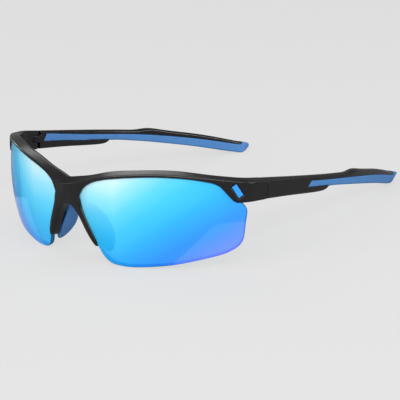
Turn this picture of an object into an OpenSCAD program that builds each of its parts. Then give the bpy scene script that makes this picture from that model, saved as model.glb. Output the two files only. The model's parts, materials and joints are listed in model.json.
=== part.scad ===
// Wraparound sport sunglasses with a half-rim front, two curved mirror lenses and folding temples.
// Drawn as worn: origin at the bridge crest, +X to the wearer's left, +Y back to the ears, +Z up.
// The last step tips the whole pair so that it stands on its lens feet and temple tips.

/* [Lenses] */
// Radius of the front surface of a lens
lens_r = 81; // [74:0.5:90]
// Thickness of a lens
lens_t = 2; // [1.6:0.1:2.4]
// Sideways offset of the centre of curvature from the middle
lens_off = 6.3; // [4:0.1:9]
// Height of the centre of curvature over the bridge crest, which sets how far the lens foot tips in
lens_lift = 7; // [4:0.5:10]
// Depth of the lens foot below the bridge crest
lens_drop = 29.5; // [26:0.5:33]
// How far a lens goes into its groove
lens_bite = 1.2; // [0.8:0.1:1.4]
// Play of a lens in its groove
lens_fit = 0.06; // [0.03:0.01:0.15]

/* [Front] */
// Width over the end pieces
front_w = 140; // [134:0.5:148]
// Distance between the lenses at the bridge
bridge_w = 14.6; // [13.6:0.2:16]
// Radius of the bend from the brow into the end piece
corner_r = 14; // [11:0.5:17]
// Straight run of the end piece up to the hinge seam
end_run = 6; // [5:0.25:8]
// How far the front lip stands over the lens
lip = 1.1; // [0.8:0.1:1.5]
// How far the bridge crest stands over the lip
crest_proud = 1.85; // [1:0.05:2.5]
// Depth of the brow from front to back
brow_t = 4.4; // [4:0.1:5.2]
// Thickness of the end piece and the temple at the hinge
end_t = 5.4; // [5.2:0.1:6.2]
// Height of the nose arch below the bridge crest
arch_drop = 7.9; // [6.5:0.1:9.5]
// Depth of the nose legs from front to back
leg_t = 4.3; // [4:0.1:5]

/* [Hinges] */
// Radius of the lugs and of the tongue around the hinge screw
knuckle_r = 1.9; // [1.7:0.05:2.1]
// Height of the tongue
tongue_h = 3; // [2.4:0.1:3.4]
// Height of the middle of the tongue over the bridge crest
tongue_z = 8.2; // [7.8:0.1:8.6]
// Play over and under the tongue
tongue_play = 0.12; // [0.08:0.02:0.2]
// Clearance of the parts that roll past each other
roll_gap = 0.3; // [0.3:0.05:0.4]
// Open seam between the end piece and the temple
seam_gap = 0.15; // [0.1:0.05:0.3]
// Diameter of the hinge screw
screw_d = 1.4; // [1.2:0.1:1.6]
// Diameter of the screw head
screw_head_d = 2.6; // [2.2:0.1:2.8]
// Height of the screw head
screw_head_h = 0.8; // [0.6:0.1:1]
// Running play between the screw and the tongue
screw_play = 0.04; // [0.02:0.01:0.06]
// Outer diameter of the threaded insert
insert_d = 2.4; // [2.2:0.1:2.6]
// Length of the threaded insert
insert_l = 1.4; // [1:0.1:1.6]

/* [Temples] */
// Length of a temple from the hinge seam to the tip, measured straight back
temple_l = 108.5; // [100:0.5:118]
// How far the tip bends in towards the head
temple_in = 23.4; // [16:0.2:28]
// Thickness of a temple over the ear
temple_t = 4.2; // [3.8:0.1:4.8]
// Height of the ridge over the ear
ridge_h = 0.9; // [0.4:0.1:1.4]
// Start of the outer grip stripe behind the seam
stripe_start = 26; // [20:0.5:32]
// Depth of the grip in the temple
grip_t = 1.1; // [0.9:0.1:1.3]
// How far the grip stands over the temple
grip_proud = 0.15; // [0.05:0.01:0.25]

/* [Nose pads] */
// Thickness of a nose pad
pad_t = 2.6; // [2.2:0.1:3]
// Length of a nose pad backwards
pad_l = 10; // [8:0.25:11]
// Thickness of the tab that carries a nose pad
tab_t = 0.9; // [0.7:0.1:1]
// Play of a pad on its tab
tab_fit = 0.05; // [0.03:0.01:0.1]

/* [Inlays] */
// Long side of an accent inlay
inlay_l = 5; // [4:0.1:6]
// Short side of an accent inlay
inlay_w = 2.1; // [1.6:0.1:3]
// Thickness of an accent inlay
inlay_t = 0.7; // [0.5:0.1:0.9]
// Shadow gap around an accent inlay
inlay_gap = 0.3; // [0.15:0.05:0.4]

/* [Hidden] */
$fn = 64;
eps = 0.01;

// Plan of the brow: a long bend around the face, a corner, then a straight run to the seam
lip_r = lens_r + lip;
lens_y = sqrt(lip_r * lip_r - lens_off * lens_off - lens_lift * lens_lift) + crest_proud;
turn_0 = -asin(lens_off / lip_r);
turn_1 = asin((front_w / 2 - lens_off - corner_r) / (lip_r - corner_r));
bend_l = lip_r * (turn_1 - turn_0) * PI / 180;
corner_l = corner_r * (90 - turn_1) * PI / 180;
brow_l = bend_l + corner_l + end_run;
corner_x = front_w / 2 - corner_r;
corner_y = lens_y - (lip_r - corner_r) * cos(turn_1);
seam_y = corner_y + end_run;

// Half width of the proud middle, and how fast its nose gets rounder downwards
proud_w = 0.76 * bridge_w;
nose_round = 0.9;
// Sections of the brow: close together at its middle and where the lip turns down into the nose leg
turn_s = bridge_w / 2 - 1;
turn_l = 6;
brow_stops = concat([for (i = [0:10]) i / 10 * turn_s], [for (i = [1:12]) turn_s + i / 12 * turn_l],
                    [for (i = [1:44]) turn_s + turn_l + i / 44 * (brow_l - turn_s - turn_l)]);

// Hinge axis, and the levels of slot and head
inner_x = front_w / 2 - end_t;
hinge_x = inner_x + knuckle_r;
hinge_y = seam_y - knuckle_r - roll_gap;
slot_z0 = tongue_z - tongue_h / 2 - tongue_play;
slot_z1 = tongue_z + tongue_h / 2 + tongue_play;
head_z1 = slot_z0 - 1.7;
insert_fit = 0.02;

// Place and slant of the accent inlay along the brow and up
inlay_s = bend_l + 2;
inlay_z = 7;
inlay_turn = -51;

// Place of the nose pads, and their outline from the top around the back to the leg
pad_x = bridge_w / 2 + 1.75;
pad_y = leg_t + 4.5;
pad_z = -16;
pad_tilt = 26;
pad_splay = 8.5;
pad_dome_r = 34;
pad_edge = [[0, [-0.2, 10]], [1, [0.33 * pad_l, 8]], [2, [0.72 * pad_l, 4]], [3, [0.95 * pad_l, -0.8]],
            [4, [0.96 * pad_l, -5]], [5, [0.85 * pad_l, -8.8]], [6, [0.66 * pad_l, -10.4]],
            [7, [4.6, -9.4]], [8, [1.8, -2]], [9, [-0.2, 10]]];

// Rounding of a temple tip, slant of its end, length of the rubber cap over it and of the cap's front edge
tip_r = 2;
tip_slant = 1;
cap_l = 3.2;
cap_edge = 1.6;
// Start and end of the rounded rear of the fin, in parts of the temple
fin_turn = 0.33;
fin_end = 0.37;

// Heights along the brow, from the bridge (0) to the seam (1): lower lip, crest and top
brow_low = [[0, -4], [0.075, -4.6], [0.084, -2.7], [0.1, -0.6], [0.13, 1.4], [0.17, 3.1], [0.25, 5.1],
            [0.45, 8.3], [0.61, 9.4], [0.72, 9], [0.757, 8.1], [0.778, 6.6], [0.817, 3.5], [0.838, 2.4],
            [0.87, 2.6], [1, 3.8]];
brow_crest = [[0, 0], [0.1, 2.3], [0.2, 5.1], [0.31, 7.5], [0.45, 9.5], [0.6, 10.6], [1, 10.6]];
brow_top = [[0, 2.9], [0.12, 5.1], [0.23, 7.8], [0.31, 9.2], [0.54, 11.8], [0.75, 11.8], [1, 11.8]];
brow_deep = [[0, brow_t], [0.7, brow_t], [0.85, end_t - 0.2], [0.93, end_t], [1, end_t]];

// How far the outer edge of a lens stays inside the end piece
lens_in = 0.6;
// Edge of a lens down the nose leg, and around its foot to the outer side.
// Across in parts of the lens width from the bridge, up in parts of the lens drop.
leg_edge = [[0, [0, -0.145]], [0.25, [0.01, -0.26]], [0.5, [0.037, -0.395]], [0.75, [0.075, -0.555]],
            [1, [0.123, -0.77]]];
foot_edge = [[0, [0.117, -0.8]], [1, [0.133, -0.88]], [2, [0.174, -0.97]], [3, [0.239, -1]],
             [4, [0.368, -0.983]], [5, [0.611, -0.868]], [6, [0.837, -0.678]], [7, [0.927, -0.556]],
             [8, [0.973, -0.417]], [9, [0.993, -0.17]], [10, [1, 0]], [11, [0.983, 0.075]]];
// Nose side of the arch and the leg, from the middle (0) to the leg tip (1)
nose_edge = [[0, [0, -arch_drop]], [0.2, [2.6, -arch_drop - 1]], [0.4, [4.9, -arch_drop - 3.1]],
             [0.6, [7.3, -arch_drop - 6.6]], [0.8, [9.7, -arch_drop - 11.1]],
             [1, [12.5, -arch_drop - 15.5]]];

// Temple seen from the side, in parts of its length: top, bottom, and the grip's upper and lower edge
temple_top = [[0, 11.8], [0.45, 12.2], [0.5, 12.35], [0.56, 12.35 + ridge_h], [0.65, 12.5], [0.8, 11.3],
              [0.91, 9.8], [1, 8.2]];
temple_low = [[0, 3.9], [0.13, 4.7], [0.25, 5.2], [0.31, 5.55], [0.34, 6], [0.358, 6.7], [0.37, 7.75],
              [0.5, 7.6], [0.63, 6.95], [0.77, 5.95], [0.91, 4.5], [1, 4]];
grip_top = [[0, 10.8], [0.25, 10.3], [0.5, 10.5], [0.65, 10.15], [0.8, 9.3], [0.93, 8], [1, 7.3]];
grip_low = [[0, 7.2], [0.1, 7.5], [0.24, 7.55], [0.37, 7.85], [1, 7.85]];
temple_bend = [[0, 0], [0.18, 0.025], [0.35, 0.08], [0.51, 0.2], [0.68, 0.43], [0.85, 0.705], [1, 1]];
temple_deep = [[0, end_t], [0.05, end_t - 0.3], [0.2, temple_t + 0.2], [0.5, temple_t],
               [0.85, temple_t + 0.2], [1, temple_t - 0.4]];

// Stretch of a curve that holds u
function stretch(k, u, i = 0) = i >= len(k) - 2 || u < k[i + 1][0] ? i : stretch(k, u, i + 1);
// Slope of a curve at its knot i
function slope(k, i) =
    let (a = max(i - 1, 0), b = min(i + 1, len(k) - 1)) (k[b][1] - k[a][1]) / (k[b][0] - k[a][0]);
// Value at u of the smooth curve through the knots [[u, value], ...]; a value may be a point
function curve(k, u) =
    let (i = stretch(k, u), d = k[i + 1][0] - k[i][0], t = min(max((u - k[i][0]) / d, 0), 1))
    k[i][1] * (1 - t) * (1 - t) * (1 + 2 * t) + k[i + 1][1] * t * t * (3 - 2 * t)
    + slope(k, i) * d * t * (1 - t) * (1 - t) - slope(k, i + 1) * d * t * t * (1 - t);

// Direction the brow faces at s along it, and its lip line in plan
function turn(s) =
    s < bend_l ? turn_0 + s / lip_r * 180 / PI : min(turn_1 + (s - bend_l) / corner_r * 180 / PI, 90);
function lip_line(s) =
    s < bend_l ? [lens_off + lip_r * sin(turn(s)), lens_y - lip_r * cos(turn(s))]
    : [corner_x + corner_r * sin(turn(s)),
       corner_y - corner_r * cos(turn(s)) + max(s - bend_l - corner_l, 0)];
// How far the middle of the front stands over the lip: a sharp nose at the crest, rounder below it
function proud(x, z) = crest_proud * pow(max(1 - norm([x, nose_round * min(z, 0)]) / proud_w, 0), 2);
// Point of the brow at s along it, at a depth behind its front and a height
function brow_point(s, deep, z) =
    let (r = lip_r - deep + proud(s, z), out = sqrt(r * r - pow(z - lens_lift, 2)) - lip_r,
         p = lip_line(s), a = turn(s))
    [p.x + out * sin(a), p.y - out * cos(a), z];
// Point at a depth behind the front lip, found from its place across and up
function shell_point(x, z, deep) =
    let (r = lip_r - deep + proud(x, z))
    [x, lens_y - sqrt(r * r - pow(x - lens_off, 2) - pow(z - lens_lift, 2)), z];
function mirrored(p) = [-p.x, p.y, p.z];

// Solid through a list of sections, each a ring with the same number of points
module loft(rings) {
    n = len(rings[0]);
    m = len(rings);
    sides = [for (i = [0:m - 2], j = [0:n - 1])
        each let (a = i * n + j, b = i * n + (j + 1) % n) [[a, b, b + n], [a, b + n, a + n]]];
    caps = [[for (j = [n - 1:-1:0]) j], [for (j = [0:n - 1]) (m - 1) * n + j]];
    polyhedron([for (r = rings) each r], concat(sides, caps));
}

// Brow section: lip, front face, slanted top face, back
function brow_ring(s) =
    let (u = s / brow_l, t = curve(brow_deep, u), low = curve(brow_low, u), top = curve(brow_top, u),
         crest = curve(brow_crest, u))
    [brow_point(s, 0.4, low), brow_point(s, 0, low + 0.5), brow_point(s, 0, (low + 0.5 + crest) / 2),
     brow_point(s, 0, crest), brow_point(s, 0.62 * t, top), brow_point(s, t - 0.6, top),
     brow_point(s, t, top - 0.7), brow_point(s, t, low + 0.4), brow_point(s, t - 0.5, low)];
function both_ways(rings) = concat([for (i = [len(rings) - 1:-1:1]) flip_ring(rings[i])], rings);
function flip_ring(ring) = [for (p = ring) mirrored(p)];

// Place across and up of an edge given in parts
function edge_place(p) = [bridge_w / 2 + p.x * (front_w / 2 - lens_in - bridge_w / 2), p.y * lens_drop];

// Section of the bridge and the nose legs, from the middle (0) to a leg tip (1)
// The bridge starts inside the brow and covers its lower lip by a hair, and the legs sink behind the lip
leg_turn = 0.94;
leg_sink = [[0, -0.06], [0.3, -0.06], [0.5, 0.2], [1, 0.35]];
leg_start = [[0, 0.2], [0.15, 0.08], [0.3, -0.06], [0.5, 0.2], [1, 0.35]];
function leg_ring(t) =
    let (n = curve(nose_edge, t), e = edge_place(curve(leg_edge, max(t - 0.3, 0) / 0.7)),
         m = e * min(t / 0.3, 1), d = curve(leg_sink, t), f = curve(leg_start, t),
         k = (m - n) * 0.3 * pow(max(t - leg_turn, 0) / (1 - leg_turn), 2),
         a = n + k, b = m - k, c = (b - a) / norm(b - a))
    [shell_at(a, d + 0.7), shell_at(a + 0.7 * c, d), shell_at((a + b) / 2, 0.25 * d - 0.04),
     shell_at(b - 0.4 * c, f), shell_at(b, f + 0.4),
     shell_at(b, leg_t - 0.4), shell_at(b - 0.4 * c, leg_t),
     shell_at(a + 0.7 * c, leg_t), shell_at(a, leg_t - 0.7)];
function shell_at(p, deep) = shell_point(p.x, p.y, deep);

// Outline of a lens seen from the front: top edge in the brow groove, foot, edge in the nose leg
function groove_top(s, bite) =
    max([for (d = [-bite, 0, bite]) curve(brow_low, min(max(s + d, 0), brow_l) / brow_l)]) + 0.85 * bite;
function lens_outline(bite) =
    concat([for (i = [0:30]) let (s = bridge_w / 2 - bite + i / 30 * (0.838 * brow_l - bridge_w / 2 + bite))
               let (p = brow_point(s, lip + lens_t / 2, groove_top(s, bite))) [p.x, p.z]],
           [for (k = [11:-0.25:0]) edge_place(curve(foot_edge, k))],
           [for (t = [1:-0.125:0.1]) edge_place(curve(leg_edge, t)) - [bite, 0]]);

// The same outline seen from the centre of curvature, so that the edge is cut square to the lens
function square_view(p) =
    [p.x - lens_off, p.y - lens_lift] * lens_r / 2 / (lens_y - shell_point(p.x, p.y, lip).y);

module lens(grow = 0) {
    translate(lens_mid)
        intersection() {
            difference() {
                sphere(r = lens_r + grow, $fn = 180);
                sphere(r = lens_r - lens_t - grow, $fn = 180);
            }
            rotate([90, 0, 0])
                translate([0, 0, lens_r / 2])
                    linear_extrude(lens_r, scale = 3)
                        polygon([for (p = lens_outline(lens_bite + 2 * grow)) square_view(p)]);
        }
}

// Local place on the outer face of the end piece: x along the brow, y up, z outwards
module on_end(s, z) {
    translate(brow_point(s, 0, z))
        rotate([0, 0, turn(s)])
            rotate([90, 0, 0])
                children();
}
module inlay_plate(grow, h) {
    rotate([0, 0, inlay_turn])
        linear_extrude(h)
            square([inlay_l + 2 * grow, inlay_w + 2 * grow], center = true);
}
module accent_inlay() {
    color("DodgerBlue")
        intersection() {
            on_end(inlay_s, inlay_z)
                translate([0, 0, -inlay_t - 0.1])
                    inlay_plate(0, inlay_t + 1);
            translate([corner_x, corner_y, 0])
                cylinder(r = corner_r - 0.1, h = 2 * inlay_z, $fn = 180);
        }
}

// Flat place of the nose pad: x along the nose, y up, z away from the nose
module on_pad() {
    translate([pad_x, pad_y, pad_z])
        rotate([0, 0, -pad_splay])
            rotate([0, -pad_tilt, 0])
                rotate([90, 0, 90])
                    children();
}
module pad_tab(grow) {
    on_pad()
        translate([-2 - grow, -3 - grow, 0.4 - tab_t / 2 - grow])
            cube([5 + 2 * grow, 6.5 + 2 * grow, tab_t + 2 * grow]);
}
module nose_pad() {
    color("SteelBlue")
        difference() {
            on_pad()
                intersection() {
                    translate([0, 0, -pad_t / 2])
                        linear_extrude(pad_t)
                            polygon([for (k = [0:0.25:8.75]) curve(pad_edge, k)]);
                    translate([pad_l / 2, 0, pad_dome_r - pad_t / 2])
                        sphere(r = pad_dome_r, $fn = 180);
                }
            pad_tab(tab_fit);
        }
}

module hinge_slot() {
    r = knuckle_r + roll_gap;
    h = slot_z1 - slot_z0;
    translate([hinge_x, hinge_y, slot_z0]) {
        cylinder(r = r, h = h);
        translate([-end_t, -r, 0])
            cube([end_t, end_t + r, h]);
        translate([-eps, 0, 0])
            cube([r + eps, end_t, h]);
    }
}
// Takes the inner rear corner off the lugs, so that the temple rolls past them
module lug_round() {
    translate([hinge_x, hinge_y, 0])
        difference() {
            translate([-end_t, 0, 0])
                cube([end_t, end_t, 20]);
            translate([0, 0, -1])
                cylinder(r = knuckle_r, h = 22);
        }
}
module half_front_cuts() {
    lens(lens_fit);
    hinge_slot();
    lug_round();
    on_end(inlay_s, inlay_z)
        translate([0, 0, -inlay_t - 0.2])
            inlay_plate(inlay_gap, 3);
    translate([hinge_x, hinge_y, 0]) {
        cylinder(d = screw_head_d + 0.2, h = head_z1);
        cylinder(d = screw_d + 2 * screw_play, h = slot_z0 + eps);
        translate([0, 0, slot_z1 - eps])
            cylinder(d = insert_d + 2 * insert_fit, h = insert_l + insert_fit + eps);
    }
}
module front_frame() {
    color("DimGray")
        difference() {
            union() {
                loft(both_ways([for (s = brow_stops) brow_ring(s)]));
                loft(both_ways([for (i = [0:24]) leg_ring(1 - pow(1 - i / 24, 1.3))]));
                pad_tab(0);
                mirror([1, 0, 0])
                    pad_tab(0);
            }
            half_front_cuts();
            mirror([1, 0, 0])
                half_front_cuts();
        }
}

module hinge_screw() {
    color("Silver")
        translate([hinge_x, hinge_y, 0])
            difference() {
                union() {
                    translate([0, 0, head_z1 - screw_head_h])
                        cylinder(d = screw_head_d, h = screw_head_h);
                    translate([0, 0, head_z1 - eps])
                        cylinder(d = screw_d, h = slot_z1 + insert_l - head_z1);
                }
                translate([-screw_head_d, -0.2, head_z1 - screw_head_h - eps])
                    cube([2 * screw_head_d, 0.4, 0.4]);
            }
}
module hinge_insert() {
    color("Goldenrod")
        translate([hinge_x, hinge_y, slot_z1 + insert_fit])
            difference() {
                cylinder(d = insert_d, h = insert_l - insert_fit);
                translate([0, 0, -1])
                    cylinder(d = screw_d + 2 * insert_fit, h = insert_l + 2);
            }
}

// Temple sections, from the seam (0) to the tip (1): the temple ends inside the cap of the grip
slant_l = 0.1 * temple_l;
stripe_u = stripe_start / temple_l;
strip_u = 0.02;
web_end = 0.945;
cap_u = 1 - (cap_l + cap_edge) / temple_l;
temple_end = 1 - (cap_l - 0.7) / temple_l;
temple_stops = concat([for (i = [0:15]) i / 15 * fin_turn],
                      [for (i = [1:6]) fin_turn + i / 6 * (fin_end - fin_turn)],
                      [for (i = [1:30]) fin_end + i / 30 * (temple_end - fin_end)]);
grip_stops = concat([for (i = [0:38]) stripe_u + i / 38 * (cap_u - stripe_u)],
                    [for (i = [1:4]) cap_u + i / 4 * cap_edge / temple_l],
                    [for (f = [1, 0.7, 0.4, 0.2, 0.07, 0]) 1 - f * tip_r / temple_l]);
function temple_y(u) = seam_y + seam_gap + u * temple_l;
function temple_x(u) = inner_x + end_t / 2 - temple_in * curve(temple_bend, u);
function from_tip(u) = (1 - u) * temple_l;
function tip_round(u) = sqrt(max(1 - pow(max(0, 1 - from_tip(u) / tip_r), 2), 0.3));
function ring_at(u, zc, pts, slant = 0) =
    let (f = tip_round(u), k = slant + tip_slant * pow(max(1 - from_tip(u) / slant_l, 0), 2))
    [for (p = pts) [temple_x(u) + f * p.x, temple_y(u) + k * f * (p.y - zc), zc + f * (p.y - zc)]];
function temple_mid(u) = (curve(temple_top, u) + curve(temple_low, u)) / 2;
function temple_ring(u) =
    let (h = curve(temple_deep, u) / 2, b = curve(temple_low, u), t = curve(temple_top, u),
         ch = curve([[0, 1.2], [0.2, 0.9], [1, 0.7]], u),
         cd = curve([[0, 0.62 * end_t], [0.3, 1.9], [1, 1.2]], u))
    ring_at(u, temple_mid(u), [[h - 0.6, b], [h, b + 0.6], [h, t - ch], [h - cd, t],
                               [0.7 - h, t], [-h, t - 0.7], [-h, b + 0.6], [0.6 - h, b]]);
// The grip rises over the temple to a cap at the tip
function cap_rise(u) = pow(min(max(1 - (from_tip(u) - cap_l) / cap_edge, 0), 1), 2);
function grip_foot(u) = u < fin_end ? curve(grip_low, u) : curve(temple_low, u) - grip_proud;
function grip_ring(u) =
    let (h = curve(temple_deep, u) / 2 + grip_proud, b = grip_foot(u), k = cap_rise(u),
         t = (1 - k) * curve(grip_top, u) + k * (curve(temple_top, u) + grip_proud))
    ring_at(u, temple_mid(u), [[h - 0.5, b], [h, b + 0.5], [h, t - 0.3], [h - 0.3, t],
                               [0.3 - h, t], [-h, t - 0.3], [-h, b + 0.5], [0.5 - h, b]],
            0.8 * max(1 - (u - stripe_u) / 0.05, 0));
function web_ring(u) =
    let (h = curve(temple_deep, u) / 2 - grip_t, t = curve(grip_top, u) + 0.6,
         b = u < fin_end ? curve(grip_low, u) - 0.6 : curve(temple_low, u) + grip_t)
    ring_at(u, temple_mid(u), [[h, b], [h, t], [-h, t], [-h, b]]);
function strip_ring(u) =
    let (h = curve(temple_deep, u) / 2, b = curve(grip_low, u) + 0.06, t = curve(grip_top, u) - 0.06)
    ring_at(u, temple_mid(u), [[grip_t - h, b], [grip_t - h, t], [-h - 0.1, t], [-h - 0.1, b]],
            0.4 * max(1 - (u - strip_u) / 0.03, 0));

module temple_grip() {
    color("SteelBlue")
        difference() {
            union() {
                loft([for (u = grip_stops) grip_ring(u)]);
                loft([for (i = [0:10]) strip_ring(strip_u + i / 10 * (stripe_u - strip_u + 0.01))]);
            }
            loft([for (i = [0:30]) web_ring(stripe_u + 0.015 + i / 30 * (web_end - stripe_u - 0.015))]);
        }
}
module temple() {
    color("DimGray")
        difference() {
            union() {
                loft([for (u = temple_stops) temple_ring(u)]);
                translate([hinge_x, hinge_y, tongue_z - tongue_h / 2]) {
                    cylinder(r = knuckle_r, h = tongue_h);
                    translate([-knuckle_r, 0, 0])
                        cube([2 * knuckle_r, knuckle_r + roll_gap + seam_gap + 1, tongue_h]);
                }
            }
            temple_grip();
            translate([hinge_x, hinge_y, 0])
                cylinder(d = screw_d + 2 * screw_play, h = 2 * tongue_z);
        }
}

// Tilt that brings the lens feet and the temple tips down to one level
function tipped(p, a) = [p.x, p.y * cos(a) + p.z * sin(a), p.z * cos(a) - p.y * sin(a)];
function lowest(points, a) = min([for (p = points) tipped(p, a).z]);
lens_mid = [lens_off, lens_y, lens_lift];
feet = [for (p = lens_outline(lens_bite), k = [1, 1 - lens_t / lens_r])
    lens_mid + k * (shell_point(p.x, p.y, lip) - lens_mid)];
tips = [for (u = grip_stops) each grip_ring(u)];
noses = concat(brow_ring(0), [for (t = [0:0.05:0.5]) each leg_ring(t)]);
function settle(a, n) =
    n == 0 ? a : settle(a + atan((lowest(tips, a) - lowest(feet, a)) / temple_l), n - 1);
rest_tilt = settle(12, 6);
rest_z = -lowest(feet, rest_tilt);
nose_y = min([for (p = noses) tipped(p, rest_tilt).y]);
tip_y = max([for (p = tips) tipped(p, rest_tilt).y]);
rest_y = -(nose_y + tip_y) / 2;

module on_table() {
    translate([0, rest_y, rest_z])
        rotate([-rest_tilt, 0, 0])
            children();
}
module right() {
    mirror([1, 0, 0])
        children();
}

module lens_left() {
    color("DeepSkyBlue")
        lens();
}

on_table() front_frame();
on_table() lens_left();
on_table() right() lens_left();  // lens_right
on_table() temple();  // temple_left
on_table() right() temple();  // temple_right
on_table() temple_grip();  // temple_grip_left
on_table() right() temple_grip();  // temple_grip_right
on_table() nose_pad();  // nose_pad_left
on_table() right() nose_pad();  // nose_pad_right
on_table() accent_inlay();  // accent_inlay_left
on_table() right() accent_inlay();  // accent_inlay_right
on_table() hinge_screw();  // hinge_screw_left
on_table() right() hinge_screw();  // hinge_screw_right
on_table() hinge_insert();  // hinge_insert_left
on_table() right() hinge_insert();  // hinge_insert_right
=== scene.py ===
# Wraparound sport sunglasses: half-rim front, two mirror lenses and folding temples with soft grips.
# Metres, in the frame of the CAD model: +X to the wearer's left, +Y back to the ears, +Z up.
import json
from math import atan2, radians

import bmesh
import bpy
from mathutils import Matrix, Vector


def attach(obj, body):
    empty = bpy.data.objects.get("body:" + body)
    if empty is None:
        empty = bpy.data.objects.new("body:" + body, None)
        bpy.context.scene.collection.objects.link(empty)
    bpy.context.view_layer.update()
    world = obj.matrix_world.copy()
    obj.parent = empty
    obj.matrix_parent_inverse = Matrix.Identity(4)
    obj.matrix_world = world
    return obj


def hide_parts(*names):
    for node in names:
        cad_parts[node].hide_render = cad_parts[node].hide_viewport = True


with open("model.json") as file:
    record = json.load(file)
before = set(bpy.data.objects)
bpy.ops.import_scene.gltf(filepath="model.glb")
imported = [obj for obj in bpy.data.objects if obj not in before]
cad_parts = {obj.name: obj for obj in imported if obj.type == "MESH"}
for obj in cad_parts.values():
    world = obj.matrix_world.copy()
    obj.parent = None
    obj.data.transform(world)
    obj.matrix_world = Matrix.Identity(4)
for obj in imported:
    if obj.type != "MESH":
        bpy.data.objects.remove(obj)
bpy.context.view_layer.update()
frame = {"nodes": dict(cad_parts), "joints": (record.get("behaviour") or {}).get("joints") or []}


# Front frame: brow, bridge, nose legs, end pieces and hinge lugs in one moulding of black nylon.
# The mould is lightly etched, so the skin is satin and every edge has the small radius of a tool.
# All other pieces of the front are pushed, pressed or screwed into it.
mm = 0.001
weld_gap = 0.001
frame_skin = 0.17
frame_rounds = 7
frame_kept = 0.45
smoothing = 0.5
lens_corner = (7.3, -74.1, 27.3)
corner_reach = 1.8
corner_rounds = 24
cloud_size = 6.25
cloud_gloss = 0.12
relief_depth = 0.02
frame_black = (0.0045, 0.0043, 0.0050, 1.0)
frame_worn = (0.0090, 0.0086, 0.0098, 1.0)


def placed(name, data):
    """A new object in the scene, at the origin."""
    thing = bpy.data.objects.new(name, data)
    bpy.context.scene.collection.objects.link(thing)
    return thing


def shown(name, mesh, material):
    """Puts a finished mesh in the scene as a smooth piece with one material."""
    mesh.materials.clear()
    mesh.materials.append(material)
    mesh.shade_smooth()
    return placed(name, mesh)


def settled(piece):
    """The mesh of a piece with its modifiers applied, and the piece itself taken away."""
    graph = bpy.context.evaluated_depsgraph_get()
    mesh = bpy.data.meshes.new_from_object(piece.evaluated_get(graph))
    bpy.data.objects.remove(piece)
    return mesh


def moulded(node, skin, rounds, kept=1.0):
    """Mesh of a CAD solid with moulded edges: an even skin, this many millimetres wide, smoothed.

    Of its faces the given share is kept, fewest where the surface is flat.
    """
    mesh = frame["nodes"][node].data.copy()
    mesh.transform(Matrix.Scale(1 / mm, 4))
    joined = bmesh.new()
    joined.from_mesh(mesh)
    bmesh.ops.remove_doubles(joined, verts=joined.verts, dist=weld_gap)
    joined.to_mesh(mesh)
    joined.free()
    blank = placed(node + "_blank", mesh)
    remesh = blank.modifiers.new("skin", "REMESH")
    remesh.mode = "VOXEL"
    remesh.voxel_size = skin
    smooth = blank.modifiers.new("rounds", "SMOOTH")
    smooth.factor = smoothing
    smooth.iterations = rounds
    thin = blank.modifiers.new("thin", "DECIMATE")
    thin.ratio = kept
    mesh = settled(blank)
    mesh.transform(Matrix.Scale(mm, 4))
    return mesh


def blended(mesh, spot, reach, rounds):
    """Smooths a mesh round a spot and its mirror image, as a toolmaker blends a corner; in millimetres."""
    body = bmesh.new()
    body.from_mesh(mesh)
    near = [v for v in body.verts
            if (Vector((abs(v.co.x), v.co.y, v.co.z)) - Vector(spot) * mm).length < reach * mm]
    for _ in range(rounds):
        bmesh.ops.smooth_vert(body, verts=near, factor=smoothing,
                              use_axis_x=True, use_axis_y=True, use_axis_z=True)
    body.to_mesh(mesh)
    body.free()


def calculated(nodes, link, operation, *values):
    """Output of a Math node that works on numbers or on other outputs."""
    step = nodes.new("ShaderNodeMath")
    step.operation = operation
    for socket, value in zip(step.inputs, values):
        if isinstance(value, (int, float)):
            socket.default_value = value
        else:
            link(value, socket)
    return step.outputs[0]


def surface_group():
    """Shared skin of moulded pieces: fine etching, faint clouds of gloss and colour, in millimetres."""
    group = bpy.data.node_groups.new("moulded skin", "ShaderNodeTree")
    sockets = group.interface
    for name in ("Colour", "Worn colour"):
        sockets.new_socket(name, in_out="INPUT", socket_type="NodeSocketColor")
    for name in ("Grain size", "Roughness", "Cloudiness"):
        sockets.new_socket(name, in_out="INPUT", socket_type="NodeSocketFloat")
    sockets.new_socket("Colour", in_out="OUTPUT", socket_type="NodeSocketColor")
    for name in ("Roughness", "Height"):
        sockets.new_socket(name, in_out="OUTPUT", socket_type="NodeSocketFloat")
    nodes, link = group.nodes, group.links.new
    given = nodes.new("NodeGroupInput").outputs
    made = nodes.new("NodeGroupOutput").inputs
    place = nodes.new("ShaderNodeTexCoord")
    per_mm = nodes.new("ShaderNodeVectorMath")
    per_mm.operation = "SCALE"
    per_mm.inputs["Scale"].default_value = 1 / mm
    link(place.outputs["Object"], per_mm.inputs["Vector"])
    grain = nodes.new("ShaderNodeTexNoise")
    grain.inputs["Detail"].default_value = 2.0
    link(per_mm.outputs["Vector"], grain.inputs["Vector"])
    link(calculated(nodes, link, "DIVIDE", 1.0, given["Grain size"]), grain.inputs["Scale"])
    clouds = nodes.new("ShaderNodeTexNoise")
    clouds.inputs["Scale"].default_value = 1 / cloud_size
    clouds.inputs["Detail"].default_value = 3.0
    link(per_mm.outputs["Vector"], clouds.inputs["Vector"])
    share = calculated(nodes, link, "MULTIPLY", clouds.outputs["Fac"], given["Cloudiness"])
    tint = nodes.new("ShaderNodeMix")
    tint.data_type = "RGBA"
    link(share, tint.inputs["Factor"])
    link(given["Colour"], tint.inputs["A"])
    link(given["Worn colour"], tint.inputs["B"])
    link(tint.outputs["Result"], made["Colour"])
    gloss = calculated(nodes, link, "MULTIPLY_ADD", share, cloud_gloss, given["Roughness"])
    link(gloss, made["Roughness"])
    link(grain.outputs["Fac"], made["Height"])
    return group


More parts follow.
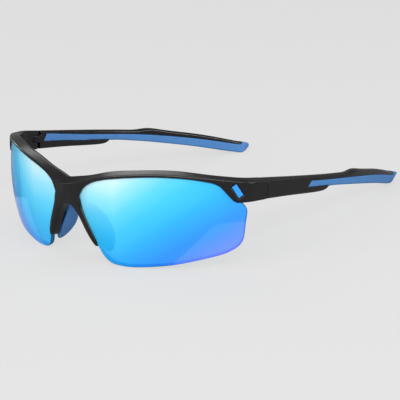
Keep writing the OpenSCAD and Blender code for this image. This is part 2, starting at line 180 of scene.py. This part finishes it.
def node_material(name):
    """A new material, with its nodes, its way to link them and its shader."""
    material = bpy.data.materials.new(name)
    material.use_nodes = True
    nodes = material.node_tree.nodes
    return material, nodes, material.node_tree.links.new, nodes["Principled BSDF"]


def skin_node(nodes, values):
    """Outputs of the shared skin, placed in a material with its own values."""
    skin = nodes.new("ShaderNodeGroup")
    skin.node_tree = moulded_skin
    for name, value in values.items():
        skin.inputs[name].default_value = value
    return skin.outputs


def relief(nodes, link, height, strength, depth):
    """Normal of a surface with a fine relief, in millimetres."""
    bump = nodes.new("ShaderNodeBump")
    bump.inputs["Strength"].default_value = strength
    bump.inputs["Distance"].default_value = depth * mm
    link(height, bump.inputs["Height"])
    return bump.outputs["Normal"]


def moulded_material(name, colour, worn, grain, roughness, cloudiness, bump, specular):
    """Principled material on the shared skin, with the values of one plastic or rubber."""
    material, nodes, link, shader = node_material(name)
    shader.inputs["Specular IOR Level"].default_value = specular
    skin = skin_node(nodes, {"Colour": colour, "Worn colour": worn, "Grain size": grain,
                             "Roughness": roughness, "Cloudiness": cloudiness})
    link(skin["Colour"], shader.inputs["Base Color"])
    link(skin["Roughness"], shader.inputs["Roughness"])
    link(relief(nodes, link, skin["Height"], bump, relief_depth), shader.inputs["Normal"])
    return material


moulded_skin = surface_group()
frame_plastic = moulded_material("satin black nylon", frame_black, frame_worn, grain=0.18,
                                 roughness=0.19, cloudiness=0.8, bump=0.15, specular=0.5)
front_mesh = moulded("front_frame", frame_skin, frame_rounds, frame_kept)
blended(front_mesh, lens_corner, corner_reach, corner_rounds)
front = shown("front_moulding", front_mesh, frame_plastic)
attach(front, "front")
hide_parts("front_frame")


# Hinge inserts: turned brass bushes with a thread inside, pressed into the upper hinge lugs.
# Only their lower faces show, in the hinge slots, bright and with the fine rings of the lathe.
brass_bright = (0.66, 0.44, 0.16, 1.0)
brass_dull = (0.42, 0.27, 0.10, 1.0)
lathe_step = 0.05
lathe_depth = 0.01
lathe_relief = 0.3
wave_factor = 20
metal_grain = 0.1
metal_clouds = 0.8

hinge = frame["joints"][0]
worn_tilt = atan2(hinge["axis"][1], hinge["axis"][2])
as_worn = Matrix.Rotation(-worn_tilt, 4, "X")


def turned_metal(name, colour, dull, roughness):
    """Bright metal from the lathe: fine grooves across the hinge axis, a little dull in places."""
    material, nodes, link, shader = node_material(name)
    shader.inputs["Metallic"].default_value = 1.0
    skin = skin_node(nodes, {"Colour": colour, "Worn colour": dull, "Grain size": metal_grain,
                             "Roughness": roughness, "Cloudiness": metal_clouds})
    link(skin["Colour"], shader.inputs["Base Color"])
    link(skin["Roughness"], shader.inputs["Roughness"])
    place = nodes.new("ShaderNodeTexCoord")
    upright = nodes.new("ShaderNodeMapping")
    upright.inputs["Rotation"].default_value = (worn_tilt, 0, 0)
    link(place.outputs["Object"], upright.inputs["Vector"])
    grooves = nodes.new("ShaderNodeTexWave")
    grooves.bands_direction = "Z"
    grooves.inputs["Scale"].default_value = 1 / (lathe_step * mm) / wave_factor
    link(upright.outputs["Vector"], grooves.inputs["Vector"])
    turned = relief(nodes, link, grooves.outputs["Fac"], lathe_relief, lathe_depth)
    link(turned, shader.inputs["Normal"])
    return material


brass = turned_metal("turned brass", brass_bright, brass_dull, roughness=0.25)
for side in ("left", "right"):
    for face in frame["nodes"]["hinge_insert_" + side].material_slots:
        face.material = brass


# The nearly white top is a painted reflection of overhead light, and the violet below is partly a painted
# tint of reflection.
# Lenses: polycarbonate 2 mm thick, cut from a flat blank and bent on a ball, with polished edges.
# A vapour coat on the outside makes the blue mirror, its colour running from nearly white at the brow to
# violet below.
# The top and the nose edge sit in the groove of the front, and the foot is free.
lens_radius = 81 * mm
lens_thickness = 2 * mm
lens_edge_round = 0.25 * mm
ball_slack = 0.02 * mm
lens_from_hinge = Vector((-60.2, 42.757, -1.2)) * mm
rim_points = 220
blank_rings = 26
tone_even = 24
tone_slope = -1.4
# Colour stops: the blues are the coat itself, the palest top stops are a painted reflection of overhead
# light, and the last violet stop is partly a painted tint of reflection.
coat_and_reflection_stops = [(-52, (0.80, 0.98, 1.0)), (-42, (0.43, 0.85, 1.0)), (-32, (0.17, 0.71, 0.99)),
              (-22, (0.062, 0.595, 0.99)), (-8, (0.020, 0.465, 0.98)), (6, (0.012, 0.305, 0.96)),
              (16, (0.030, 0.225, 0.94)), (28, (0.10, 0.20, 0.90))]
coat_back = (0.03, 0.04, 0.05, 1.0)
clear_tint = (0.04, 0.5, 1.0, 1.0)
edge_tint = (0.02, 0.10, 0.22, 1.0)
flow_shade = 0.9
flow_clouds = 0.4

lens_centre = Vector(hinge["pos_m"]) + as_worn @ lens_from_hinge


def front_rim(node):
    """Points where the front of a lens meets its edge, in order, evenly spaced."""
    solid = bmesh.new()
    solid.from_mesh(frame["nodes"][node].data)
    bmesh.ops.remove_doubles(solid, verts=solid.verts, dist=weld_gap * mm)
    on_ball = {v for v in solid.verts if abs((v.co - lens_centre).length - lens_radius) < ball_slack}
    rim = {}
    for edge in solid.edges:
        ends = [v for v in edge.verts if v in on_ball]
        if len(ends) == 2 and any(set(f.verts) - on_ball for f in edge.link_faces):
            for a, b in (ends, ends[::-1]):
                rim.setdefault(a, []).append(b)
    start = min(rim, key=lambda v: v.co.z)
    loop = [start, rim[start][0]]
    while loop[-1] is not start:
        loop.append(next(v for v in rim[loop[-1]] if v is not loop[-2]))
    points = [v.co.copy() for v in loop]
    solid.free()
    return evenly(points, rim_points)


def evenly(points, count):
    """A closed line of points walked in equal steps."""
    steps = [(b - a).length for a, b in zip(points, points[1:])]
    spaced, k, gone = [], 0, 0.0
    for i in range(count):
        at = sum(steps) * i / count
        while gone + steps[k] < at:
            gone += steps[k]
            k += 1
        spaced.append(points[k].lerp(points[k + 1], (at - gone) / steps[k]))
    return spaced


def lens_blank(rim):
    """Flat sheet with the outline of a lens as seen from its centre of curvature, in rings to the middle."""
    flat = [lens_centre + (p - lens_centre) * (lens_radius / (lens_centre.y - p.y)) for p in rim]
    middle = sum(flat, Vector()) / len(flat)
    sheet = bmesh.new()
    rings = []
    for k in range(blank_rings):
        rings.append([sheet.verts.new(p.lerp(middle, k / blank_rings)) for p in flat])
    centre = sheet.verts.new(middle)
    for outer, inner in zip(rings, rings[1:]):
        for i in range(len(flat)):
            sheet.faces.new((outer[i - 1], outer[i], inner[i], inner[i - 1]))
    for i in range(len(flat)):
        sheet.faces.new((rings[-1][i - 1], rings[-1][i], centre))
    bmesh.ops.recalc_face_normals(sheet, faces=sheet.faces)
    if sheet.faces[0].normal.y > 0:
        bmesh.ops.reverse_faces(sheet, faces=sheet.faces)
    mesh = bpy.data.meshes.new("lens_blank")
    sheet.to_mesh(mesh)
    sheet.free()
    return mesh


def ball_bend_tree():
    """Geometry nodes that bend a flat blank on a ball."""
    tree = bpy.data.node_groups.new("bend on a ball", "GeometryNodeTree")
    sockets = tree.interface
    sockets.new_socket("Blank", in_out="INPUT", socket_type="NodeSocketGeometry")
    sockets.new_socket("Centre", in_out="INPUT", socket_type="NodeSocketVector")
    sockets.new_socket("Radius", in_out="INPUT", socket_type="NodeSocketFloat")
    sockets.new_socket("Material", in_out="INPUT", socket_type="NodeSocketMaterial")
    sockets.new_socket("Lens", in_out="OUTPUT", socket_type="NodeSocketGeometry")
    nodes, link = tree.nodes, tree.links.new
    given = nodes.new("NodeGroupInput")
    made = nodes.new("NodeGroupOutput")
    place = nodes.new("GeometryNodeInputPosition")
    away = nodes.new("ShaderNodeVectorMath")
    away.operation = "SUBTRACT"
    link(place.outputs["Position"], away.inputs[0])
    link(given.outputs["Centre"], away.inputs[1])
    way = nodes.new("ShaderNodeVectorMath")
    way.operation = "NORMALIZE"
    link(away.outputs["Vector"], way.inputs[0])
    on_ball = nodes.new("ShaderNodeVectorMath")
    on_ball.operation = "MULTIPLY_ADD"
    link(way.outputs["Vector"], on_ball.inputs[0])
    link(given.outputs["Radius"], on_ball.inputs[1])
    link(given.outputs["Centre"], on_ball.inputs[2])
    bend = nodes.new("GeometryNodeSetPosition")
    link(given.outputs["Blank"], bend.inputs["Geometry"])
    link(on_ball.outputs["Vector"], bend.inputs["Position"])
    whole = nodes.new("GeometryNodeRealizeInstances")
    link(bend.outputs["Geometry"], whole.inputs["Geometry"])
    coat = nodes.new("GeometryNodeSetMaterial")
    link(whole.outputs["Geometry"], coat.inputs["Geometry"])
    link(given.outputs["Material"], coat.inputs["Material"])
    link(coat.outputs["Geometry"], made.inputs["Lens"])
    return tree


def set_inputs(modifier, **values):
    """Sets a geometry nodes modifier's inputs by their names."""
    for item in modifier.node_group.interface.items_tree:
        if item.in_out == "INPUT" and item.name in values:
            modifier[item.identifier] = values[item.name]


def mirror_coat_with_painted_reflection():
    """Blue mirror: the coat's colour across the lens with a painted reflection in it, nearly white on top
    and violet low at the outer side; smoke behind it.
    """
    material, nodes, link, shader = node_material("blue mirror coat with painted reflection")
    shader.inputs["Metallic"].default_value = 0.2
    shader.inputs["Roughness"].default_value = 0.08
    shader.inputs["Specular IOR Level"].default_value = 0.4
    shader.inputs["Specular Tint"].default_value = (0.3, 0.7, 1.0, 1.0)
    shader.inputs["Alpha"].default_value = 0.77
    place = nodes.new("ShaderNodeTexCoord")
    part = nodes.new("ShaderNodeSeparateXYZ")
    link(place.outputs["Object"], part.inputs["Vector"])
    across = calculated(nodes, link, "ABSOLUTE", part.outputs["X"])
    outer = calculated(nodes, link, "SUBTRACT", across, tone_even * mm)
    only_outer = calculated(nodes, link, "MAXIMUM", outer, 0.0)
    down = calculated(nodes, link, "MULTIPLY_ADD", part.outputs["Z"], tone_slope, only_outer)
    low, high = coat_and_reflection_stops[0][0], coat_and_reflection_stops[-1][0]
    along = nodes.new("ShaderNodeMapRange")
    along.inputs["From Min"].default_value = low * mm
    along.inputs["From Max"].default_value = high * mm
    link(down, along.inputs["Value"])
    # Ramp of coat colour with painted reflection: nearly white at the top, violet low at the outer side.
    shades = nodes.new("ShaderNodeValToRGB")
    shades.color_ramp.interpolation = "CARDINAL"
    stops = shades.color_ramp.elements
    for at, colour in coat_and_reflection_stops:
        spot = (at - low) / (high - low)
        stop = stops[0] if at == low else stops[-1] if at == high else stops.new(spot)
        stop.color = (*colour, 1.0)
    link(along.outputs["Result"], shades.inputs["Fac"])
    side = nodes.new("ShaderNodeNewGeometry")
    seen = nodes.new("ShaderNodeMix")
    seen.data_type = "RGBA"
    seen.inputs["B"].default_value = coat_back
    link(side.outputs["Backfacing"], seen.inputs["Factor"])
    link(shades.outputs["Color"], seen.inputs["A"])
    link(seen.outputs["Result"], shader.inputs["Base Color"])
    return material


def tinted_clear(name, colour, clearness, gloss):
    """Clear tinted polycarbonate under the coat, faintly streaked by the flow of the mould."""
    material, nodes, link, shader = node_material(name)
    shader.inputs["Transmission Weight"].default_value = clearness
    shader.inputs["IOR"].default_value = 1.0
    shader.inputs["Roughness"].default_value = 0.0
    shader.inputs["Coat Weight"].default_value = gloss
    streaks = tuple(flow_shade * c for c in colour[:3]) + (1.0,)
    skin = skin_node(nodes, {"Colour": colour, "Worn colour": streaks, "Cloudiness": flow_clouds})
    link(skin["Colour"], shader.inputs["Base Color"])
    return material


coat = mirror_coat_with_painted_reflection()
clear_blue = tinted_clear("clear blue polycarbonate", clear_tint, clearness=1.0, gloss=0.5)
polished_edge = tinted_clear("polished lens edge", edge_tint, clearness=0.2, gloss=0.1)

blank = placed("lens_blank", lens_blank(front_rim("lens_left")))
for layer in (coat, clear_blue, polished_edge):
    blank.data.materials.append(layer)
bend = blank.modifiers.new("bend", "NODES")
bend.node_group = ball_bend_tree()
set_inputs(bend, Centre=lens_centre, Radius=lens_radius, Material=coat)
wall = blank.modifiers.new("wall", "SOLIDIFY")
wall.thickness = lens_thickness
wall.offset = -1
wall.material_offset = 1
wall.material_offset_rim = 2
edge = blank.modifiers.new("polished edge", "BEVEL")
edge.width = lens_edge_round
edge.segments = 2
edge.limit_method = "ANGLE"
edge.angle_limit = radians(50)
edge.harden_normals = True
edge.material = 2
blank.data.shade_smooth()
left_lens_mesh = settled(blank)
right_lens_mesh = left_lens_mesh.copy()
right_lens_mesh.transform(Matrix.Scale(-1, 4, (1, 0, 0)))
right_lens_mesh.flip_normals()
for side, mesh in (("left", left_lens_mesh), ("right", right_lens_mesh)):
    lens = placed("mirror_lens_" + side, mesh)
    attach(lens, "front")
    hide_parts("lens_" + side)


# Accent inlays: a small glossy plate of blue acrylic in a slanted recess of each end piece.
# It is stamped from sheet and glued in, so its face is smooth and its edges are barely broken.
inlay_skin = 0.07
inlay_rounds = 3
inlay_blue = (0.020, 0.235, 0.70, 1.0)
inlay_light = (0.030, 0.275, 0.76, 1.0)
inlay_gloss = moulded_material("glossy blue acrylic", inlay_blue, inlay_light, grain=0.5,
                               roughness=0.22, cloudiness=0.5, bump=0.1, specular=0.5)
for side in ("left", "right"):
    plate_mesh = moulded("accent_inlay_" + side, inlay_skin, inlay_rounds)
    plate = shown("accent_plate_" + side, plate_mesh, inlay_gloss)
    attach(plate, "front")
    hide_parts("accent_inlay_" + side)


# Nose pads: leaves of soft blue silicone rubber, pushed on the tabs behind the nose legs.
# The rubber is dull and a little cloudy, with a faint bloom where it has been handled.
pad_skin = 0.16
pad_rounds = 8
rubber_blue = (0.040, 0.145, 0.36, 1.0)
rubber_bloom = (0.056, 0.185, 0.43, 1.0)
rubber = moulded_material("soft blue rubber", rubber_blue, rubber_bloom, grain=0.12,
                          roughness=0.52, cloudiness=0.9, bump=0.6, specular=0.35)
for side in ("left", "right"):
    pad = shown("nose_leaf_" + side, moulded("nose_pad_" + side, pad_skin, pad_rounds), rubber)
    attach(pad, "front")
    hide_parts("nose_pad_" + side)


# Temples: black nylon arms that fold on the hinge screws, with a ridge over the ear and a short fin.
# They come from the same mould shop as the front and have the same etched skin.
temple_skin = 0.18
for side in ("left", "right"):
    arm_mesh = moulded("temple_" + side, temple_skin, frame_rounds, frame_kept)
    arm = shown("temple_arm_" + side, arm_mesh, frame_plastic)
    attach(arm, side + "_temple")
    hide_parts("temple_" + side)


# Temple grips: blue rubber moulded round each arm, flush inside, and taking in the lower half and tip.
# The rubber stands a hair over the plastic, so the line between the two stays crisp.
grip_skin = 0.18
for side in ("left", "right"):
    grip_mesh = moulded("temple_grip_" + side, grip_skin, frame_rounds, frame_kept)
    grip = shown("grip_sleeve_" + side, grip_mesh, rubber)
    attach(grip, side + "_temple")
    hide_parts("temple_grip_" + side)


# Hinge screws: turned steel with a slotted head, put in from below through lug, tongue and lug.
# The thread ends in the brass insert, and the head is sunk in the lower lug.
screw_head = 2.6
screw_head_height = 0.8
screw_slot = 0.4
screw_shank = 1.4
screw_length = 6.34
thread_pitch = 0.35
thread_depth = 0.1
shank_from_hinge = -3.32
shank_rise = 0.48
screw_sides = 40
thread_steps = 28
steel_bright = (0.56, 0.57, 0.58, 1.0)
steel_dull = (0.33, 0.33, 0.34, 1.0)


def screw_tree():
    """Geometry nodes for a slotted screw in millimetres: head down, shank up, a spiral for the thread."""
    tree = bpy.data.node_groups.new("slotted screw", "GeometryNodeTree")
    sockets = tree.interface
    for name in ("Head", "Head height", "Slot", "Shank", "Length", "Pitch", "Thread depth"):
        sockets.new_socket(name, in_out="INPUT", socket_type="NodeSocketFloat")
    for name in ("Place", "Turn"):
        sockets.new_socket(name, in_out="INPUT", socket_type="NodeSocketVector")
    sockets.new_socket("Material", in_out="INPUT", socket_type="NodeSocketMaterial")
    sockets.new_socket("Screw", in_out="OUTPUT", socket_type="NodeSocketGeometry")
    nodes, link = tree.nodes, tree.links.new
    given = nodes.new("NodeGroupInput").outputs
    made = nodes.new("NodeGroupOutput")

    def sum_of(operation, a, b):
        return calculated(nodes, link, operation, a, b)

    def lifted(mesh, height):
        at = nodes.new("ShaderNodeCombineXYZ")
        link(height, at.inputs["Z"])
        move = nodes.new("GeometryNodeTransform")
        link(mesh, move.inputs["Geometry"])
        link(at.outputs["Vector"], move.inputs["Translation"])
        return move.outputs["Geometry"]

    def rod(width, height):
        turned = nodes.new("GeometryNodeMeshCylinder")
        turned.inputs["Vertices"].default_value = screw_sides
        link(sum_of("MULTIPLY", width, 0.5), turned.inputs["Radius"])
        link(height, turned.inputs["Depth"])
        return turned.outputs["Mesh"]

    core = sum_of("SUBTRACT", given["Shank"], sum_of("MULTIPLY", given["Thread depth"], 2.0))
    half_head = sum_of("MULTIPLY", given["Head height"], -0.5)
    head = lifted(rod(given["Head"], given["Head height"]), half_head)
    shank = lifted(rod(core, given["Length"]), sum_of("MULTIPLY", given["Length"], shank_rise))
    spiral = nodes.new("GeometryNodeCurveSpiral")
    spiral.inputs["Resolution"].default_value = thread_steps
    reach = sum_of("SUBTRACT", given["Length"], given["Pitch"])
    link(sum_of("DIVIDE", reach, given["Pitch"]), spiral.inputs["Rotations"])
    link(sum_of("MULTIPLY", core, 0.5), spiral.inputs["Start Radius"])
    link(sum_of("MULTIPLY", core, 0.5), spiral.inputs["End Radius"])
    link(reach, spiral.inputs["Height"])
    tooth = nodes.new("GeometryNodeCurvePrimitiveCircle")
    tooth.inputs["Resolution"].default_value = 4
    link(given["Thread depth"], tooth.inputs["Radius"])
    thread = nodes.new("GeometryNodeCurveToMesh")
    thread.inputs["Fill Caps"].default_value = True
    link(spiral.outputs["Curve"], thread.inputs["Curve"])
    link(tooth.outputs["Curve"], thread.inputs["Profile Curve"])
    body = nodes.new("GeometryNodeMeshBoolean")
    body.operation = "UNION"
    for mesh in (head, shank, thread.outputs["Mesh"]):
        link(mesh, body.inputs["Mesh 2"])
    cutter = nodes.new("GeometryNodeMeshCube")
    wide = nodes.new("ShaderNodeCombineXYZ")
    link(sum_of("MULTIPLY", given["Head"], 2.0), wide.inputs["X"])
    link(given["Slot"], wide.inputs["Y"])
    link(given["Head height"], wide.inputs["Z"])
    link(wide.outputs["Vector"], cutter.inputs["Size"])
    slotted = nodes.new("GeometryNodeMeshBoolean")
    slotted.operation = "DIFFERENCE"
    link(body.outputs["Mesh"], slotted.inputs["Mesh 1"])
    link(lifted(cutter.outputs["Mesh"], sum_of("MULTIPLY", half_head, 2.0)), slotted.inputs["Mesh 2"])
    seat = nodes.new("GeometryNodeTransform")
    seat.inputs["Scale"].default_value = (mm, mm, mm)
    link(slotted.outputs["Mesh"], seat.inputs["Geometry"])
    link(given["Place"], seat.inputs["Translation"])
    link(given["Turn"], seat.inputs["Rotation"])
    whole = nodes.new("GeometryNodeRealizeInstances")
    link(seat.outputs["Geometry"], whole.inputs["Geometry"])
    finish = nodes.new("GeometryNodeSetMaterial")
    link(whole.outputs["Geometry"], finish.inputs["Geometry"])
    link(given["Material"], finish.inputs["Material"])
    link(finish.outputs["Geometry"], made.inputs["Screw"])
    return tree


steel = turned_metal("turned steel", steel_bright, steel_dull, roughness=0.28)
slotted_screw = screw_tree()
for side, joint in zip(("left", "right"), frame["joints"]):
    stock = placed("screw_stock", bpy.data.meshes.new("screw_stock"))
    turning = stock.modifiers.new("turning", "NODES")
    turning.node_group = slotted_screw
    seat = Vector(joint["pos_m"]) + as_worn @ Vector((0, 0, shank_from_hinge * mm))
    set_inputs(turning, **{"Head": screw_head, "Head height": screw_head_height, "Slot": screw_slot,
                           "Shank": screw_shank, "Length": screw_length, "Pitch": thread_pitch,
                           "Thread depth": thread_depth, "Place": seat, "Turn": (-worn_tilt, 0, 0),
                           "Material": steel})
    screw = placed("turned_screw_" + side, settled(stock))
    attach(screw, "front")
    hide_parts("hinge_screw_" + side)


# Studio: a pale sheet under and behind the pair, with softboxes over it and all round.
# Straight on and through the lenses, the sheet and the room have one even grey; reflections see them dim.
# Two glowing cards, one lilac and one white, lie before the lens feet, where only the mirror coat sees them.
backdrop_grey = (0.757, 0.757, 0.757, 1.0)
mirrored_grey = (0.19, 0.19, 0.19, 1.0)
room_grey = (0.28, 0.28, 0.28, 1.0)
sheet_grey = (0.62, 0.62, 0.62, 1.0)
sheet_size = 6.0
shadow_share = 0.2
card_glow_colour = {"left": (1.0, 0.35, 1.0, 1.0), "right": (1.0, 1.0, 1.0, 1.0)}
card_glow = {"left": 3.4, "right": 0.7}
softboxes = [("overhead softbox", (0.15, -0.10, 1.00), (0.80, 0.80), 2.6),
             ("front softbox", (-0.03, -0.98, 0.50), (1.20, 0.55), 8.8),
             ("key softbox", (0.66, -0.68, 0.62), (0.35, 0.25), 2.8),
             ("left softbox", (0.92, -0.23, 0.55), (0.70, 0.55), 4.3),
             ("right softbox", (-1.00, 0.05, 0.25), (0.40, 0.20), 1.4),
             ("rear softbox", (-0.62, 0.34, 0.72), (0.45, 0.45), 1.5),
             ("left rear softbox", (0.85, 0.50, 0.42), (0.40, 0.25), 4.0)]
card_height = 0.4
card_corners = {"left": [(96.8, -98.9), (121.5, -80.7), (78, -40), (40.3, -60.8)],
                "right": [(-94.1, -74.1), (-20, -69.6), (-40, -55), (-88, -38)]}


def flat_sheet(name, corners, height, material):
    """A flat face of the stage, which is no part of the pair."""
    mesh = bpy.data.meshes.new(name)
    mesh.from_pydata([(x, y, height) for x, y in corners], [], [range(len(corners))])
    mesh.materials.append(material)
    sheet = placed(name, mesh)
    return sheet


def seen_directly(nodes, link):
    """Where the camera, a reflection or a clear piece looks straight at a surface, and the grey it sees."""
    rays = nodes.new("ShaderNodeLightPath").outputs
    either = rays["Is Camera Ray"]
    for way in ("Is Glossy Ray", "Is Transmission Ray"):
        either = calculated(nodes, link, "MAXIMUM", either, rays[way])
    mirrored = calculated(nodes, link, "SUBTRACT", rays["Is Glossy Ray"], rays["Is Transmission Ray"])
    mirrored.node.use_clamp = True
    grey = nodes.new("ShaderNodeMix")
    grey.data_type = "RGBA"
    grey.inputs["A"].default_value = backdrop_grey
    grey.inputs["B"].default_value = mirrored_grey
    link(mirrored, grey.inputs["Factor"])
    return either, grey.outputs["Result"]


def sheet_material():
    """Pale sheet that keeps a soft shadow and otherwise has the backdrop's grey."""
    material, nodes, link, shader = node_material("pale sheet")
    shader.inputs["Base Color"].default_value = sheet_grey
    shader.inputs["Roughness"].default_value = 0.9
    shader.inputs["Specular IOR Level"].default_value = 0.0
    seen, grey = seen_directly(nodes, link)
    even = nodes.new("ShaderNodeEmission")
    link(grey, even.inputs["Color"])
    share = calculated(nodes, link, "MULTIPLY", seen, 1 - shadow_share)
    mix = nodes.new("ShaderNodeMixShader")
    link(share, mix.inputs["Fac"])
    link(shader.outputs["BSDF"], mix.inputs[1])
    link(even.outputs["Emission"], mix.inputs[2])
    link(mix.outputs["Shader"], nodes["Material Output"].inputs["Surface"])
    return material


def card_material(side):
    """Card that glows with its own even light, in place of a lit card, as a mirror sees it."""
    material, nodes, link, _ = node_material("card " + side)
    glow = nodes.new("ShaderNodeEmission")
    glow.inputs["Color"].default_value = card_glow_colour[side]
    glow.inputs["Strength"].default_value = card_glow[side]
    link(glow.outputs["Emission"], nodes["Material Output"].inputs["Surface"])
    return material


lenses = bpy.data.collections.new("lenses")
for side in card_corners:
    lenses.objects.link(bpy.data.objects["mirror_lens_" + side])
half = sheet_size / 2
flat_sheet("floor", [(-half, -half), (half, -half), (half, half), (-half, half)], 0, sheet_material())
for side, corners in card_corners.items():
    card = flat_sheet("card_" + side, [(x * mm, y * mm) for x, y in corners], card_height * mm,
                      card_material(side))
    card.visible_camera = False
    card.visible_diffuse = False
    card.visible_transmission = False
    card.visible_shadow = False
    card.light_linking.receiver_collection = lenses

world = bpy.data.worlds.new("studio")
bpy.context.scene.world = world
world.use_nodes = True
nodes, link = world.node_tree.nodes, world.node_tree.links.new
room = nodes.new("ShaderNodeMix")
room.data_type = "RGBA"
room.inputs["A"].default_value = room_grey
seen, grey = seen_directly(nodes, link)
link(seen, room.inputs["Factor"])
link(grey, room.inputs["B"])
link(room.outputs["Result"], nodes["Background"].inputs["Color"])

for name, place, size, watts in softboxes:
    lamp = bpy.data.lights.new(name, "AREA")
    lamp.shape = "RECTANGLE"
    lamp.size, lamp.size_y = size
    lamp.energy = watts
    holder = placed(name, lamp)
    holder.location = place
    holder.rotation_euler = (-Vector(place)).to_track_quat("-Z", "Y").to_euler()


# Camera: long lens from the wearer's left front, a little above, turned slightly on its axis.
camera_place = Vector((571.30, -549.83, 257.44)) * mm
camera_target = Vector((36.64, -36.10, 20.39)) * mm
camera_roll = radians(-4.679)
camera = bpy.data.cameras.new("camera")
camera.sensor_width = 36
camera.lens = 175.96
camera.clip_start = 0.05
viewer = placed("camera", camera)
aim = (camera_target - camera_place).to_track_quat("-Z", "Y").to_matrix().to_4x4()
viewer.matrix_world = Matrix.Translation(camera_place) @ aim @ Matrix.Rotation(camera_roll, 4, "Z")
bpy.context.scene.camera = viewer
bpy.context.scene.view_settings.view_transform = "Standard"
